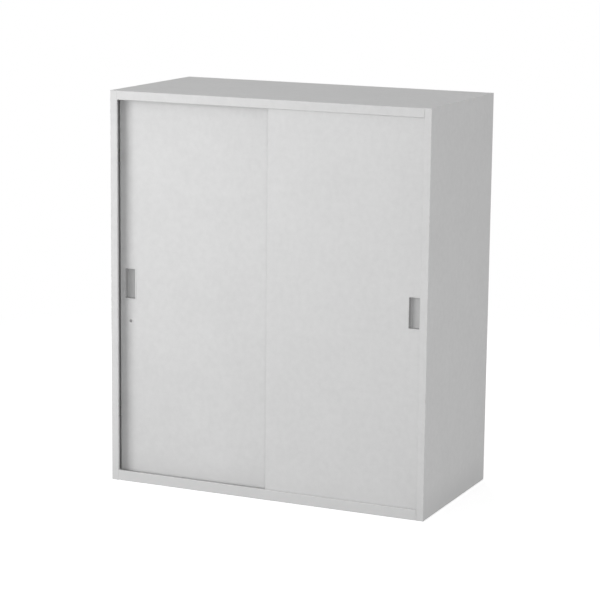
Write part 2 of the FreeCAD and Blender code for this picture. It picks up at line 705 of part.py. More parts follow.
def make_bracket():
    """Roller bracket: two cheeks and a bridge, standing on the foot wall of a door."""
    body = template("roller_bracket")
    foot = "door_foot + door_sheet"
    cheek_in = "(bracket_half - bracket_sheet)"
    section = folded([
        ("-" + cheek_in, foot, (-1, 0)),
        ("-" + cheek_in, "bracket_head", (-1, 1)),
        (cheek_in, "bracket_head", (1, 1)),
        (cheek_in, foot, (1, 0)),
    ], "bracket_sheet")
    pad(body, "YZ_Plane", [section], "-bracket_length / 2", "bracket_length / 2")
    hole = (("0", "roller_axis"), "axle_radius + axle_clearance")
    pocket(body, "XZ_Plane", [hole], "-bracket_half", "bracket_half")
    return body


def revolve(body, corners):
    """A turned solid: the outline of (along Y, radius) corners, turned about the Y axis."""
    sketch = new_sketch(body, "YZ_Plane", "0")
    draw(sketch, [corners])
    feature = body.newObject("PartDesign::Revolution", body.Name + "_turned")
    feature.Profile = sketch
    feature.ReferenceAxis = (sketch, ["H_Axis"])


def make_axle():
    """Axle of a roller with its two riveted heads."""
    body = template("roller_axle")
    shank = "bracket_half"
    end = "bracket_half + axle_head_length"
    revolve(body, [
        ("-(%s)" % end, "0"), (end, "0"), (end, "axle_head_radius"), (shank, "axle_head_radius"),
        (shank, "axle_radius"), ("-" + shank, "axle_radius"), ("-" + shank, "axle_head_radius"),
        ("-(%s)" % end, "axle_head_radius"),
    ])
    return body


def make_roller(name, x, track):
    """Grooved roller that straddles the ridge of its rail."""
    body = new_body(name)
    bore = "axle_radius + axle_clearance"
    edge = "roller_width / 2"
    lip = "groove_width / 2"
    revolve(body, [
        ("-" + edge, bore), (edge, bore), (edge, "roller_rim_radius"), (lip, "roller_rim_radius"),
        (lip, "roller_tread_radius"), ("-" + lip, "roller_tread_radius"),
        ("-" + lip, "roller_rim_radius"), ("-" + edge, "roller_rim_radius"),
    ])
    place_body(body, x, track, "roller_axis")


def make_shoe():
    """Guide shoe on the head of a door: a base and the tongue that runs in the channel."""
    body = template("guide_shoe")
    base_x = "(shoe_length / 2 + shoe_base_margin)"
    base_y = "(shoe_width / 2 + shoe_base_margin)"
    pad(body, "XY_Plane", [rectangle("-" + base_x, base_x, "-" + base_y, base_y)], "0", "shoe_base_height")
    tongue = rectangle("-shoe_length / 2", "shoe_length / 2", "-shoe_width / 2", "shoe_width / 2")
    pad(body, "XY_Plane", [tongue], "shoe_base_height", "shoe_height")
    return body


def make_doors():
    """Both doors with their fittings. Each is laid out from its own left edge."""
    bracket = make_bracket()
    axle = make_axle()
    shoe = make_shoe()
    doors = (
        ("front_door", "front_door_width", "front_door_face", "front_track", "meeting_offset",
         "front_door_width - handle_inset"),
        ("rear_door", "rear_door_width", "rear_door_face", "rear_track", "-door_edge", "handle_inset"),
    )
    for name, width, face, track, left, handle in doors:
        skin = make_door_skin(name + "_skin", width, face, left, handle)
        if name == "rear_door":
            hole = (("lock_inset", "lock_z - door_foot"), "barrel_radius + barrel_clearance")
            pocket(skin, "XZ_Plane", [hole], "0", "door_sheet")
        make_door_stiffener(name + "_stiffener", width, face, left)
        make_handle_cup(name + "_handle", face, "%s + %s" % (left, handle))
        spots = ["%s + %s" % (left, spot) for spot in roller_spots(width)]
        group(name + "_roller_brackets", bracket, [(spot, track, "0") for spot in spots])
        group(name + "_axles", axle, [(spot, track, "roller_axis") for spot in spots])
        group(name + "_guide_shoes", shoe, [(spot, track, "door_head") for spot in spots])
        for word, spot in zip(("left", "right"), spots):
            make_roller("%s_%s_roller" % (name, word), spot, track)


# ---------------------------------------------------------------- lock

def make_lock_barrel():
    """Barrel with its collar on the face of the door, open for the plug."""
    body = new_body("lock_barrel")
    tail = "door_thickness + barrel_tail"
    bore = "plug_radius + plug_clearance"
    revolve(body, [
        ("-barrel_face_height", bore),
        (tail, bore),
        (tail, "barrel_radius"),
        ("0", "barrel_radius"),
        ("0", "barrel_face_radius"),
        ("-barrel_face_height", "barrel_face_radius"),
    ])
    place_body(body, "lock_x", "rear_door_face", "lock_z")


def make_lock_nut():
    """Six-sided nut that holds the barrel, behind the face sheet."""
    body = new_body("lock_nut")
    edge = "nut_radius"
    flat = "nut_radius * sqrt(3) / 2"
    half = "nut_radius / 2"
    hexagon = [
        (edge, "0"), (half, flat), ("-" + half, flat),
        ("-" + edge, "0"), ("-" + half, "-" + flat), (half, "-" + flat),
    ]
    hole = (("0", "0"), "barrel_radius + barrel_clearance")
    pad(body, "XZ_Plane", [hexagon, hole], "door_sheet", "door_sheet + nut_height")
    place_body(body, "lock_x", "rear_door_face", "lock_z")


def make_lock_plug():
    """Turning plug with its key slot, and the tail that carries the cam."""
    body = new_body("lock_plug")
    face = "plug_recess - barrel_face_height"
    shoulder = "door_thickness + barrel_tail"
    end = "door_thickness + barrel_tail + cam_gap + cam_sheet"
    revolve(body, [
        (face, "0"),
        (end, "0"),
        (end, "plug_tail_radius"),
        (shoulder, "plug_tail_radius"),
        (shoulder, "plug_radius"),
        (face, "plug_radius"),
    ])
    wide = "key_slot_width / 2"
    long = "key_slot_length / 2"
    pocket(body, "XZ_Plane", [rectangle("-" + wide, wide, "-" + long, long)], face, "key_slot_depth")
    place_body(body, "lock_x", "rear_door_face", "lock_z")


def make_lock_cam():
    """Cam that hangs down when the lock is open, with a barb that hooks the strike."""
    body = new_body("lock_cam")
    arm = "cam_half_width"
    barb = "-(cam_half_width + cam_barb_height)"
    tip = "-cam_reach"
    shoulder = "-cam_reach + cam_barb_width"
    outline = [
        ("-" + arm, "cam_heel"),
        (arm, "cam_heel"),
        (arm, tip),
        (barb, tip),
        (barb, shoulder),
        ("-" + arm, shoulder),
    ]
    hole = (("0", "0"), "plug_tail_radius")
    pad(body, "XZ_Plane", [outline, hole], "0", "cam_sheet")
    place_body(body, "lock_x", "cam_front", "lock_z")


# ---------------------------------------------------------------- build and write

def check_document():
    """Stops the build at a failed feature, a cut that takes nothing away or a bad sub-part."""
    for item in doc.Objects:
        if "Invalid" in item.State or "Error" in item.State:
            raise RuntimeError("failed feature " + item.Name)
        cuts = item.isDerivedFrom("PartDesign::Pocket")
        if cuts and not item.Shape.Volume < item.BaseFeature.Shape.Volume:
            raise RuntimeError("nothing cut by " + item.Name)
    for name, item in parts.items():
        if item.Shape.isNull() or not item.Shape.isValid() or not item.Shape.Solids:
            raise RuntimeError("no valid solid in " + name)


def write_parts():
    """Writes one STEP file for each sub-part, and says how large each one is."""
    for name, item in parts.items():
        item.Shape.exportStep("parts/%s.step" % name)
        box = item.Shape.BoundBox
        print("%-34s %d solid(s) %9.0f mm3  x %.1f..%.1f  y %.1f..%.1f  z %.1f..%.1f" % (
            name, len(item.Shape.Solids), item.Shape.Volume,
            box.XMin, box.XMax, box.YMin, box.YMax, box.ZMin, box.ZMax))


def main():
    """Makes every sub-part of the cabinet."""
    write_sizes()
    make_side("left_side", -1)
    make_side("right_side", 1)
    make_top()
    make_bottom()
    make_back()
    make_case_stiffeners()
    make_rail("front_rail", "front_track")
    make_rail("rear_rail", "rear_track")
    make_channel("front_guide_channel", "front_track")
    make_channel("rear_guide_channel", "rear_track")
    for side, word in ((-1, "left"), (1, "right")):
        make_upright(word + "_front_upright", side, "front_upright")
        make_upright(word + "_rear_upright", side, "rear_upright")
    make_shelf("lower_shelf", "lower_hook")
    make_shelf("upper_shelf", "upper_hook")
    make_clips()
    make_bumpers()
    make_strike()
    make_strike_screws()
    make_doors()
    make_lock_barrel()
    make_lock_nut()
    make_lock_plug()
    make_lock_cam()
    doc.recompute()
    check_document()
    write_parts()


main()
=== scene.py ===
"""Looks of a sliding door cabinet in folded steel sheet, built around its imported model.

Units are metres. X runs to the right, Y to the back, Z up, and the origin is on the floor under
the middle of the case. Each piece is made in place, so every object sits at the origin.
"""

import json
import math

import bmesh
import bpy
from bpy.props import FloatProperty, FloatVectorProperty, IntProperty, PointerProperty
from mathutils import Matrix, Vector
from mathutils.bvhtree import BVHTree


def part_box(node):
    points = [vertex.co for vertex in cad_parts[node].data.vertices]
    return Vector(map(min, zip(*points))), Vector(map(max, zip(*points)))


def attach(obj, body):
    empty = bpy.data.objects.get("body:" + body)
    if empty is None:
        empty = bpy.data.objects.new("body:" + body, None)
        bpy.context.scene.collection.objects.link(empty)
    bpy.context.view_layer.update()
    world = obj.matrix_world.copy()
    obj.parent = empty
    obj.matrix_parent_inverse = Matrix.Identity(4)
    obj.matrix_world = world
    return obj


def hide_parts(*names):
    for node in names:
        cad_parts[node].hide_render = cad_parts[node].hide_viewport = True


bl_info = {
    "name": "Sliding Door Cabinet",
    "version": (1, 0, 0),
    "blender": (4, 5, 0),
    "location": "3D View > Sidebar > Cabinet",
    "description": "Finishes a folded steel cabinet with two sliding doors around its packed model",
    "category": "Object",
}

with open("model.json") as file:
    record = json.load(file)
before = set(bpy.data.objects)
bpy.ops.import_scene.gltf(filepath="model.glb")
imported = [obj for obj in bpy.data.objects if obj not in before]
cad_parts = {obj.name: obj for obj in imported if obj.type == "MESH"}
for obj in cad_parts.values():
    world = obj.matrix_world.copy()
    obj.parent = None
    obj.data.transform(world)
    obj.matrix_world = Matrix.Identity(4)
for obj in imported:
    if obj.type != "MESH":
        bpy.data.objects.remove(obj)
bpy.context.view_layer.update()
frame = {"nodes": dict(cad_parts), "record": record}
NODES = frame["nodes"]
RECORD = frame["record"]
BODY_OF = {node: body for body, nodes in RECORD["behaviour"]["bodies"].items() for node in nodes}
SLOT_OF = {part["node"]: part["material_slot"] for part in RECORD["subparts"]}

MM = 0.001
QUARTER = math.pi / 2
WHITE = (1.0, 1.0, 1.0, 1.0)
JOIN = 0.01 * MM            # corners this close are one
FIT = 0.6 * MM              # a modelled piece may differ this much from its node's box
SAME = 0.1 * MM             # the two edges of a fold are a sheet apart, give or take this
SHARP = math.radians(40)    # least angle of an edge that is rounded
FOLD_REACH = 1.6            # an edge with more sheets of metal behind it than this is a fold
HALF_ROOM = 0.48            # share of a face or an edge that one round may take up where
WHOLE_ROOM = 0.95           # another one faces it, and where none does
PAST_FOLD = 2.0             # where an edge goes on past its fold, the round stops so many radii
LEFT_OVER = 2.5             # before the fold's end, if the edge goes on for more radii than this
CROSS_ARM = 1.5 * MM        # cross recess of a screw: length and half width of an arm
CROSS_HALF = 0.42 * MM
PLUG_RIM = 4.5 * MM         # radius where the plug of the lock ends and its collar begins
BLUR = 0.1 * MM             # how far to each side their finishes blend


# ---- settings

def length(name, description, millimetres):
    """A length setting whose default is given in millimetres."""
    return FloatProperty(name=name, description=description, default=millimetres * MM,
                         min=0.0, precision=5, unit="LENGTH")


def colour(name, description, red, green, blue):
    """A colour setting, in linear light."""
    return FloatVectorProperty(name=name, description=description, default=(red, green, blue),
                               min=0.0, max=1.0, size=3, subtype="COLOR")


def grey(name, description, level):
    """A neutral colour setting, from its level on a screen, 0 to 255."""
    light = ((level / 255 + 0.055) / 1.055) ** 2.4
    return colour(name, description, light, light, light)


def angle(name, description, degrees):
    """An angle setting whose default is given in degrees."""
    return FloatProperty(name=name, description=description, default=math.radians(degrees), subtype="ANGLE")


def power(name, description, watts):
    """The power of a lamp."""
    return FloatProperty(name=name, description=description, default=watts, min=0.0, unit="POWER")


class CabinetSizes(bpy.types.PropertyGroup):
    """Sheet, bends and edges of the modelled pieces."""
    case_sheet: length("Case Sheet", "Sheet of the sides, top and bottom", 1.0)
    back_sheet: length("Back Sheet", "Sheet of the back", 0.8)
    door_sheet: length("Door Sheet", "Sheet of the doors", 0.8)
    shelf_sheet: length("Shelf Sheet", "Sheet of the shelves", 0.8)
    hat_sheet: length("Stiffener Sheet", "Sheet of the hat sections", 1.0)
    channel_sheet: length("Channel Sheet", "Wall of the guide channels", 1.2)
    upright_sheet: length("Upright Sheet", "Sheet of the slotted uprights", 1.2)
    fitting_sheet: length("Fitting Sheet", "Sheet of clips, brackets and the strike", 1.5)
    bend: length("Bend Radius", "Inner radius of a fold", 0.6)
    rim: length("Rim Easing", "Rounding of a cut edge", 0.16)
    brim: length("Hat Brim", "Brim of a stiffener with the foot of its web", 10.0)
    slot_width: length("Slot Width", "Slots of the uprights", 4.0)
    slot_height: length("Slot Height", "Slots of the uprights", 12.0)
    slot_pitch: length("Slot Pitch", "Slot to slot", 25.0)
    slot_first: length("First Slot", "Lowest slot above the foot of an upright", 20.0)


class CabinetFinish(bpy.types.PropertyGroup):
    """Colours of the finishes."""
    case_paint: grey("Case Paint", "Powder coat of the case", 213)
    door_paint: grey("Door Paint", "Powder coat of the doors", 213)
    shelf_paint: grey("Shelf Paint", "Powder coat of shelves and uprights", 208)
    pull_plastic: grey("Pull Rim", "Rim of the moulded pulls", 212)
    # the darker grey inside the pulls is painted shade in their recesses
    pull_cup_shade: grey("Pull Cup", "Inside of the moulded pulls", 186)
    rail_plastic: grey("Rail Plastic", "Rails and guide channels", 212)
    nylon: colour("Nylon", "Rollers and guide shoes", 0.72, 0.70, 0.63)
    zinc: colour("Zinc", "Plated clips and brackets", 0.56, 0.58, 0.60)
    rubber: grey("Rubber", "Door stops", 132)
    lock_metal: grey("Lock Collar", "Barrel and collar of the lock", 210)
    lock_plug: grey("Lock Plug", "Turning plug of the lock", 158)


class CabinetStage(bpy.types.PropertyGroup):
    """Camera, light and floor."""
    yaw: angle("Yaw", "Camera turned to its left", 24.359)
    pitch: angle("Pitch", "Camera tipped down", 10.935)
    roll: angle("Roll", "Camera turned about its own axis", 0.6251)
    eye: FloatVectorProperty(name="Eye", description="Place of the camera",
                             default=(2.4132, -5.3323, 1.6247), size=3, subtype="XYZ", unit="LENGTH")
    lens: FloatProperty(name="Lens", description="Focal length in millimetres on a 36 mm sensor",
                        default=134.17, min=1.0)
    sky: FloatProperty(name="Sky Strength", description="Even light from all round", default=0.482, min=0.0)
    key: power("Key Power", "Large soft lamp at the front left", 30.7)
    low: power("Low Power", "Low soft lamp near the camera", 40.0)
    side: power("Side Power", "Low soft lamp at the right side", 12.0)
    back: power("Back Power", "Soft lamp behind the case", 22.0)
    floor: grey("Floor", "Pale floor", 240)
    bounce: grey("Bounce", "Floor as the light from below the case sees it", 168)
    lift: FloatProperty(name="Floor Lift", description="White added to the floor where it is looked at",
                        default=0.53, min=0.0)


SETTINGS = {"cabinet_sizes": CabinetSizes, "cabinet_finish": CabinetFinish,
            "cabinet_stage": CabinetStage}

# Name, azimuth and elevation in degrees, distance and width in metres. The azimuth runs from the
# front of the case to its right.
LAMPS = (("key", -32.0, 12.0, 2.6, 1.6), ("low", 24.0, 5.0, 4.5, 1.6),
         ("side", 85.0, 3.0, 3.0, 1.2), ("back", 205.0, 0.0, 2.6, 0.9))
LIT_SPOT = (0.0, -0.1, 0.55)


# ---- node trees

class Wire:
    """An output socket. Sums with it add Math nodes to its tree."""

    def __init__(self, graph, socket):
        self.graph = graph
        self.socket = socket

    def math(self, operation, first, second=0.0):
        return self.graph.node("ShaderNodeMath", {"operation": operation}, {0: first, 1: second})

    def __add__(self, other):
        return self.math("ADD", self, other)

    def __radd__(self, other):
        return self.math("ADD", other, self)

    def __sub__(self, other):
        return self.math("SUBTRACT", self, other)

    def __rsub__(self, other):
        return self.math("SUBTRACT", other, self)

    def __mul__(self, other):
        return self.math("MULTIPLY", self, other)

    def root(self):
        """The square root of the value."""
        return self.math("SQRT", self)

    def clipped(self):
        """The value, held between 0 and 1."""
        return self.graph.node("ShaderNodeClamp", {}, {"Value": self})

    def ramp(self, low, high):
        """0 below low, 1 above high, and smooth between them."""
        return self.graph.node("ShaderNodeMapRange", {"interpolation_type": "SMOOTHSTEP"},
                               {"Value": self, "From Min": low, "From Max": high})


class Graph:
    """The node tree of a material or a modifier, and the one way to add a node to it."""

    def __init__(self, tree):
        self.tree = tree

    def node(self, kind, settings, inputs, output=0):
        """Adds a node: its settings first, then the value or link of each socket."""
        made = self.tree.nodes.new(kind)
        for name, value in settings.items():
            setattr(made, name, value)
        for name, value in inputs.items():
            for item in value if isinstance(value, list) else [value]:
                if isinstance(item, Wire):
                    self.tree.links.new(item.socket, made.inputs[name])
                else:
                    made.inputs[name].default_value = item
        return Wire(self, made.outputs[output]) if made.outputs else made


# ---- finishes

def new_surface(name):
    """An empty material and its graph."""
    surface = bpy.data.materials.new(name)
    surface.use_nodes = True
    surface.node_tree.nodes.clear()
    return surface, Graph(surface.node_tree)


def place(graph):
    """Place on the object, which is also its place in the cabinet."""
    return graph.node("ShaderNodeTexCoord", {}, {}, "Object")


def axis(graph, name, vector=None):
    """One coordinate of a vector, or else of the place on the object."""
    return graph.node("ShaderNodeSeparateXYZ", {}, {0: vector or place(graph)}, name)


def stretched(graph, x, y, z):
    """The place on the object, stretched along the axes."""
    return graph.node("ShaderNodeMapping", {"vector_type": "POINT"},
                      {"Vector": place(graph), "Scale": (x, y, z)})


def noise(graph, scale, detail, where=None):
    """Soft noise around 0.5, with so many blotches to the metre."""
    return graph.node("ShaderNodeTexNoise", {},
                      {"Vector": where or place(graph), "Scale": scale, "Detail": detail,
                       "Roughness": 0.55}, "Fac")


def blend(graph, factor, first, second):
    """The first colour where factor is 0, and the second where it is 1."""
    return graph.node("ShaderNodeMix", {"data_type": "RGBA"}, {0: factor, 6: first, 7: second}, 2)


def tinted(graph, base, factor, low, high):
    """The base colour, made darker or lighter: low where factor is 0 and high where it is 1."""
    dark = tuple(base[step] * low for step in range(3)) + (1.0,)
    light = tuple(min(base[step] * high, 1.0) for step in range(3)) + (1.0,)
    return blend(graph, factor, dark, light)


def finish_surface(graph, base, rough, height, depth, **others):
    """Principled shader with this colour, roughness and bump, and others of its values by name."""
    relief = graph.node("ShaderNodeBump", {}, {"Height": height, "Distance": depth, "Strength": 1.0})
    inputs = {"Base Color": base, "Roughness": rough, "Normal": relief}
    inputs.update({name.replace("_", " "): value for name, value in others.items()})
    shader = graph.node("ShaderNodeBsdfPrincipled", {}, inputs)
    graph.node("ShaderNodeOutputMaterial", {}, {"Surface": shader})


def powder_coat(graph, base):
    """Satin powder coat: orange peel, fine grain, a little cloudiness and dust near the floor."""
    peel = noise(graph, 420.0, 2.0)
    grain = noise(graph, 900.0, 1.0)
    mottle = noise(graph, 60.0, 2.0)
    cloud = noise(graph, 9.0, 3.0)
    dust = (1.0 - axis(graph, "Z").ramp(0.0, 0.09)) * noise(graph, 60.0, 4.0)
    shade = grain * 0.15 + peel * 0.15 + mottle * 0.4 + cloud * 0.3 - dust * 0.3
    base = tinted(graph, base, shade.ramp(0.25, 0.75), 0.95, 1.04)
    rough = 0.44 + peel * 0.1 + dust * 0.25
    finish_surface(graph, base, rough, peel + grain * 0.4, 0.05 * MM, Specular_IOR_Level=0.45)


def moulded(graph, base, rough, inside=None):
    """Moulded plastic with a fine spark-eroded texture, and a darker colour inside a cup, painted shade for
    its recess.
    """
    spark = noise(graph, 1400.0, 2.0)
    cloud = noise(graph, 18.0, 2.0)
    shade = (spark * 0.5 + cloud * 0.5).ramp(0.2, 0.8)
    base = tinted(graph, base, shade, 0.94, 1.04)
    # painted shade: the inside of a cup takes a darker grey than its rim
    if inside:
        cup = graph.node("ShaderNodeAttribute", {"attribute_name": "cup"}, {}, "Fac")
        base = blend(graph, cup, base, tinted(graph, inside, shade, 0.94, 1.04))
    finish_surface(graph, base, rough + spark * 0.14, spark, 0.03 * MM, Specular_IOR_Level=0.4)


def worn_track(graph, base):
    """Plastic track with rub marks along its length."""
    rubbed = noise(graph, 1.0, 4.0, stretched(graph, 9.0, 900.0, 900.0))
    spark = noise(graph, 1100.0, 2.0)
    base = tinted(graph, base, (rubbed * 0.7 + spark * 0.3).ramp(0.25, 0.75), 0.88, 1.06)
    finish_surface(graph, base, 0.36 + rubbed * 0.2, rubbed * 0.6 + spark * 0.4, 0.03 * MM)


def zinc_plate(graph, base):
    """Bright zinc plate: soft spangle and a faint passivated tint."""
    spangle = graph.node("ShaderNodeTexVoronoi", {}, {"Vector": place(graph), "Scale": 420.0}, "Distance")
    haze = noise(graph, 45.0, 3.0)
    cool = tinted(graph, base, spangle.ramp(0.0, 0.9), 0.86, 1.08)
    warm = tinted(graph, (base[0] * 1.06, base[1] * 1.02, base[2] * 0.88), haze, 0.9, 1.05)
    base = blend(graph, haze.ramp(0.45, 0.75) * 0.5, cool, warm)
    finish_surface(graph, base, 0.26 + haze * 0.22, spangle * 0.5 + haze * 0.5, 0.02 * MM, Metallic=1.0)


def dusty_rubber(graph, base):
    """Grey rubber with a bloom of dust on its upper side."""
    up = axis(graph, "Z", graph.node("ShaderNodeNewGeometry", {}, {}, "Normal"))
    bloom = noise(graph, 160.0, 3.0)
    base = tinted(graph, base, (bloom * 0.7 + up.ramp(0.2, 1.0) * 0.4).clipped(), 0.82, 1.25)
    finish_surface(graph, base, 0.74 + bloom * 0.15, bloom, 0.04 * MM, Specular_IOR_Level=0.3)


def turned_metal(graph, base, plug):
    """Satin metal with fine turning marks around the axis of the lock, darker on its plug."""
    low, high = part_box("lock_barrel")
    middle = (low + high) / 2
    across = axis(graph, "X") - middle.x
    upward = axis(graph, "Z") - middle.z
    ring = (across * across + upward * upward).root()
    marks = graph.node("ShaderNodeTexNoise", {"noise_dimensions": "1D"},
                       {"W": ring, "Scale": 9000.0, "Detail": 2.0}, "Fac")
    haze = noise(graph, 220.0, 2.0)
    shade = marks * 0.6 + haze * 0.4
    collar = ring.ramp(PLUG_RIM - BLUR, PLUG_RIM + BLUR)
    base = blend(graph, collar, tinted(graph, plug, shade, 0.86, 1.06),
                 tinted(graph, base, shade, 0.9, 1.04))
    finish_surface(graph, base, 0.3 + marks * 0.18, marks, 0.01 * MM, Metallic=0.8 - collar * 0.4)


def surface_for(slot):
    """The finish of one of the record's material slots, made once."""
    packed = bpy.data.materials.get(slot)
    if packed and packed.get("finished"):
        return packed
    if packed:
        packed.name = slot + "_packed"
    shown = bpy.context.scene.cabinet_finish
    fill, *values = {
        "case_paint": (powder_coat, shown.case_paint),
        "door_paint": (powder_coat, shown.door_paint),
        "shelf_paint": (powder_coat, shown.shelf_paint),
        # the pulls' second grey is painted shade inside their cups
        "handle_plastic": (moulded, shown.pull_plastic, 0.42, shown.pull_cup_shade),
        "rail_plastic": (worn_track, shown.rail_plastic),
        "nylon": (moulded, shown.nylon, 0.38),
        "plated_steel": (zinc_plate, shown.zinc),
        "rubber": (dusty_rubber, shown.rubber),
        "lock_metal": (turned_metal, shown.lock_metal, shown.lock_plug),
    }[slot]
    surface, graph = new_surface(slot)
    fill(graph, *values)
    surface["finished"] = True
    return surface


# ---- pieces

def plain_mesh(item, name):
    """The evaluated shape of an object as a plain mesh. The object goes."""
    shown = item.evaluated_get(bpy.context.evaluated_depsgraph_get())
    mesh = bpy.data.meshes.new_from_object(shown)
    mesh.name = name
    bpy.data.objects.remove(item)
    return mesh


def loose_object(name, data):
    """An object in the scene."""
    item = bpy.data.objects.new(name, data)
    bpy.context.scene.collection.objects.link(item)
    return item


def as_mesh(shape, name):
    """A plain mesh from a shape in the making, which goes."""
    mesh = bpy.data.meshes.new(name)
    shape.to_mesh(mesh)
    shape.free()
    return mesh


def smooth(mesh):
    """Shades all faces smooth."""
    for polygon in mesh.polygons:
        polygon.use_smooth = True


def corners_of(points):
    """Low and high corner of some points."""
    points = list(points)
    return Vector(map(min, zip(*points))), Vector(map(max, zip(*points)))


def whole_box(nodes):
    """Low and high corner of all the nodes."""
    return corners_of(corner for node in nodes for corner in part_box(node))


def trimmed(mesh, nodes):
    """Brings corners that are a rounding error outside the box back onto it."""
    low, high = whole_box(nodes)
    for vertex in mesh.vertices:
        vertex.co = Vector(min(max(vertex.co[step], low[step]), high[step]) for step in range(3))


def check_fit(name, mesh, nodes):
    """Stops the script if a modelled piece isn't where its nodes are."""
    low, high = whole_box(nodes)
    made_low, made_high = corners_of(vertex.co for vertex in mesh.vertices)
    if max((made_low - low).length, (made_high - high).length) > FIT:
        raise RuntimeError("%s is at %s %s, and its nodes are at %s %s" % (
            name, made_low, made_high, low, high))


def piece(name, mesh, *nodes):
    """A finished piece: it rides with its nodes, stands for them and has their finish."""
    check_fit(name, mesh, nodes)
    trimmed(mesh, nodes)
    item = loose_object(name, mesh)
    mesh.materials.clear()
    mesh.materials.append(surface_for(SLOT_OF[nodes[0]]))
    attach(item, BODY_OF[nodes[0]])
    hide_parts(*nodes)
    return item


def eased(item, rim):
    """Rounds the edges of an object that are still sharp, and shades its flats flat."""
    edges = item.modifiers.new("rims", "BEVEL")
    edges.limit_method = "ANGLE"
    edges.angle_limit = SHARP
    edges.width = rim
    edges.segments = 2
    weld = item.modifiers.new("weld", "WELD")
    weld.merge_threshold = JOIN * 0.1
    shading = item.modifiers.new("shading", "WEIGHTED_NORMAL")
    shading.keep_sharp = True
    shading.weight = 100
    smooth(item.data)


def turned_in(edge):
    """Whether an edge is the inner side of a fold."""
    return len(edge.link_faces) == 2 and edge.calc_face_angle_signed(0.0) <= -SHARP


def metal_behind(tree, loop):
    """How far the metal goes on from an edge, just under the face of one of its loops."""
    start, end = loop.vert.co, loop.link_loop_next.vert.co
    inward = loop.face.normal.cross((end - start).normalized())
    skin = 0.05 * MM
    reach = tree.ray_cast((start + end) / 2 + (inward - loop.face.normal) * skin, inward)[3]
    return reach or 0.0


def fold_radius(tree, edge, sheet, bend):
    """Radius that an edge gets: 0 unless the sheet is folded there."""
    if turned_in(edge):
        return bend if edge.calc_length() >= sheet * FOLD_REACH else 0.0
    if (len(edge.link_faces) != 2 or edge.calc_length() < sheet * FOLD_REACH
            or edge.calc_face_angle_signed(0.0) < SHARP):
        return 0.0
    reach = min(metal_behind(tree, loop) for loop in edge.link_loops)
    return min(bend + sheet, reach * HALF_ROOM) if reach > sheet * FOLD_REACH else 0.0


def room_on(beside, end, edge, radii):
    """How much of an edge beside the end of a fold may go into its round."""
    faced = any(radii[far] for far in beside.other_vert(end).link_edges if far not in (beside, edge))
    return beside.calc_length() * (HALF_ROOM if faced else WHOLE_ROOM)


def fold_radii(shape, sheet, bend):
    """Radius of every fold, no larger than the edges beside its ends allow."""
    tree = BVHTree.FromBMesh(shape)
    radii = {edge: fold_radius(tree, edge, sheet, bend) for edge in shape.edges}
    limits = {}
    for edge, radius in radii.items():
        room = [room_on(beside, end, edge, radii) for end in edge.verts for beside in end.link_edges
                if beside is not edge and not radii[beside]]
        limits[edge] = min([radius] + room) if radius else 0.0
    return limits


def fold_ends(shape, sheet, radius):
    """Cuts the outer edge of a fold where the fold stops well before the edge does."""
    inner = [[end.co.copy() for end in edge.verts] for edge in shape.edges if turned_in(edge)]
    for edge in [edge for edge in shape.edges if not turned_in(edge)]:
        first = edge.verts[0]
        start, end = (vertex.co.copy() for vertex in edge.verts)
        size = (end - start).length
        along = (end - start) / size
        spans = [sorted((spot - start).dot(along) for spot in pair) for pair in inner
                 if all(abs((spot - start).cross(along).length - sheet * math.sqrt(2)) < SAME
                        for spot in pair)]
        if not spans:
            continue
        low, high = min(span[0] for span in spans), max(span[1] for span in spans)
        if size - high > radius * LEFT_OVER:
            cut = high - radius * PAST_FOLD
            last = bmesh.utils.edge_split(edge, first, cut / size)[1]
            edge = next(beside for beside in last.link_edges if first in beside.verts)
            size = cut
        if low > radius * LEFT_OVER:
            bmesh.utils.edge_split(edge, first, (low + radius * PAST_FOLD) / size)


def merged(node):
    """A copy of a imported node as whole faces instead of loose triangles."""
    shape = bmesh.new()
    shape.from_mesh(NODES[node].data)
    bmesh.ops.remove_doubles(shape, verts=shape.verts, dist=JOIN)
    bmesh.ops.dissolve_limit(shape, angle_limit=math.radians(0.5), verts=shape.verts, edges=shape.edges)
    shape.normal_update()
    return shape


def folded_copy(node, sheet):
    """A folded piece in the shape of its node, with round bends and eased rims."""
    sizes = bpy.context.scene.cabinet_sizes
    shape = merged(node)
    fold_ends(shape, sheet, sizes.bend + sheet)
    weight = shape.edges.layers.float.new("bevel_weight_edge")
    for edge, radius in fold_radii(shape, sheet, sizes.bend).items():
        edge[weight] = radius / (sizes.bend + sheet)
    item = loose_object(node + "_work", as_mesh(shape, node))
    folds = item.modifiers.new("folds", "BEVEL")
    folds.limit_method = "WEIGHT"
    folds.width = sizes.bend + sheet
    folds.segments = 4
    folds.use_clamp_overlap = False
    eased(item, sizes.rim)
    return plain_mesh(item, node)


def finished_edges(name, mesh, rim):
    """Eases the edges of a plain mesh."""
    item = loose_object(name + "_work", mesh)
    eased(item, rim)
    return plain_mesh(item, name)


def fold_all(sheet, *nodes):
    """Folded pieces in the shape of their nodes, all of one sheet."""
    for node in nodes:
        piece(node + "_folded", folded_copy(node, sheet), node)


def ease_all(ending, rim, *nodes):
    """Solid pieces in the shape of their nodes, with eased edges."""
    for node in nodes:
        piece(node + ending, finished_edges(node, as_mesh(merged(node), node), rim), node)


# ---- geometry nodes

def new_rule(name, inputs):
    """A geometry tree with named inputs: its graph and a wire for each input."""
    tree = bpy.data.node_groups.new(name, "GeometryNodeTree")
    tree.interface.new_socket("Geometry", in_out="INPUT", socket_type="NodeSocketGeometry")
    for label, kind in inputs.items():
        tree.interface.new_socket(label, in_out="INPUT", socket_type="NodeSocket" + kind)
    tree.interface.new_socket("Geometry", in_out="OUTPUT", socket_type="NodeSocketGeometry")
    graph = Graph(tree)
    entry = tree.nodes.new("NodeGroupInput")
    wires = {socket.name: Wire(graph, socket) for socket in entry.outputs if socket.name}
    return graph, wires


